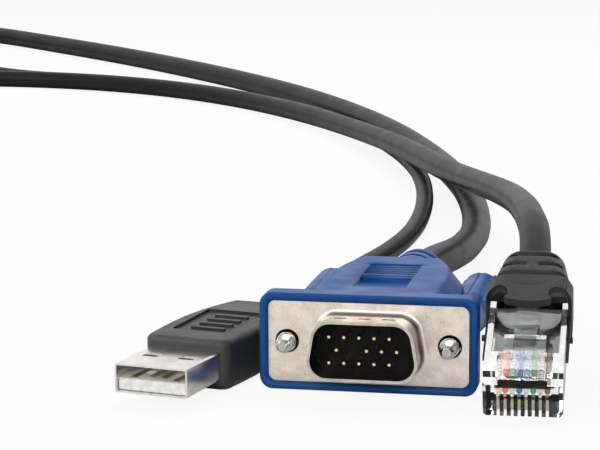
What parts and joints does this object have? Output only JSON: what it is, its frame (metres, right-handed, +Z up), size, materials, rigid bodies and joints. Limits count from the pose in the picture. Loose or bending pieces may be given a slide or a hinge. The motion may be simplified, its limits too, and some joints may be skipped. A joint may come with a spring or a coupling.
{
  "type": "kvm dongle cable",
  "caption": "KVM dongle cable with a VGA plug and its thumbscrews, a USB plug and a clear modular network plug, on black leads joined in a moulded junction.",
  "frame": {"origin": "under the middle of the VGA plug, at the height of the surface that the plugs and leads lie on", "axes": "+Y along the VGA plug from its face to its strain relief, +Z up, +X to the right seen from in front of the face"},
  "size_m": [0.3149, 0.5116, 0.0219],
  "materials": {
    "black_insulator": "matte",
    "black_jacket": "satin PVC",
    "black_moulding": "fine grain",
    "black_tie": "matte",
    "blue_hood": "fine matte grain",
    "blue_knob": "fine matte grain",
    "clear_plug": "clear polycarbonate",
    "gold_contact": "gold plated",
    "grey_boot": "satin, fine grain",
    "nickel_plate": "nickel plated, fine speckle",
    "screw_steel": "nickel plated",
    "usb_metal": "bright nickel",
    "usb_white": "satin",
    "wire_blue": "blue",
    "wire_brown": "brown",
    "wire_green": "green",
    "wire_orange": "orange",
    "wire_white_blue": "white with a blue stripe",
    "wire_white_brown": "white with a brown stripe",
    "wire_white_green": "white with a green stripe",
    "wire_white_orange": "white with an orange stripe"
  },
  "bodies": {
    "root": {"cable_junction": "black_moulding", "coil_tie": "black_tie", "main_cable": "black_jacket", "main_cable_coil": "black_jacket", "main_cable_tail": "black_jacket", "rj45_body": "clear_plug", "rj45_boot": "grey_boot", "rj45_contact_1": "gold_contact", "rj45_contact_2": "gold_contact", "rj45_contact_3": "gold_contact", "rj45_contact_4": "gold_contact", "rj45_contact_5": "gold_contact", "rj45_contact_6": "gold_contact", "rj45_contact_7": "gold_contact", "rj45_contact_8": "gold_contact", "rj45_sheath": "black_jacket", "rj45_wire_1": "wire_white_orange", "rj45_wire_2": "wire_orange", "rj45_wire_3": "wire_white_green", "rj45_wire_4": "wire_blue", "rj45_wire_5": "wire_white_blue", "rj45_wire_6": "wire_green", "rj45_wire_7": "wire_white_brown", "rj45_wire_8": "wire_brown", "usb_cable": "black_jacket", "usb_contact_1": "gold_contact", "usb_contact_2": "gold_contact", "usb_contact_3": "gold_contact", "usb_contact_4": "gold_contact", "usb_overmold": "black_moulding", "usb_shell": "usb_metal", "usb_tongue": "usb_white", "vga_cable": "black_jacket", "vga_front_shell": "nickel_plate", "vga_hood": "blue_hood", "vga_insulator": "black_insulator", "vga_pin_low_1": "gold_contact", "vga_pin_low_2": "gold_contact", "vga_pin_low_3": "gold_contact", "vga_pin_low_4": "gold_contact", "vga_pin_low_5": "gold_contact", "vga_pin_mid_1": "gold_contact", "vga_pin_mid_3": "gold_contact", "vga_pin_mid_4": "gold_contact", "vga_pin_mid_5": "gold_contact", "vga_pin_top_1": "gold_contact", "vga_pin_top_2": "gold_contact", "vga_pin_top_3": "gold_contact", "vga_pin_top_4": "gold_contact", "vga_pin_top_5": "gold_contact"},
    "left_thumbscrew": {"left_screw": "screw_steel", "left_knob": "blue_knob"},
    "right_thumbscrew": {"right_screw": "screw_steel", "right_knob": "blue_knob"}
  },
  "joints": [
    {"name": "left_screw_spin", "type": "hinge", "parent": "root", "child": "left_thumbscrew", "pos_m": [-0.01249, -0.024, 0.00755], "axis": [0, 1, 0], "continuous": true},
    {"name": "right_screw_spin", "type": "hinge", "parent": "root", "child": "right_thumbscrew", "pos_m": [0.01249, -0.024, 0.00755], "axis": [0, 1, 0], "continuous": true}
  ]
}
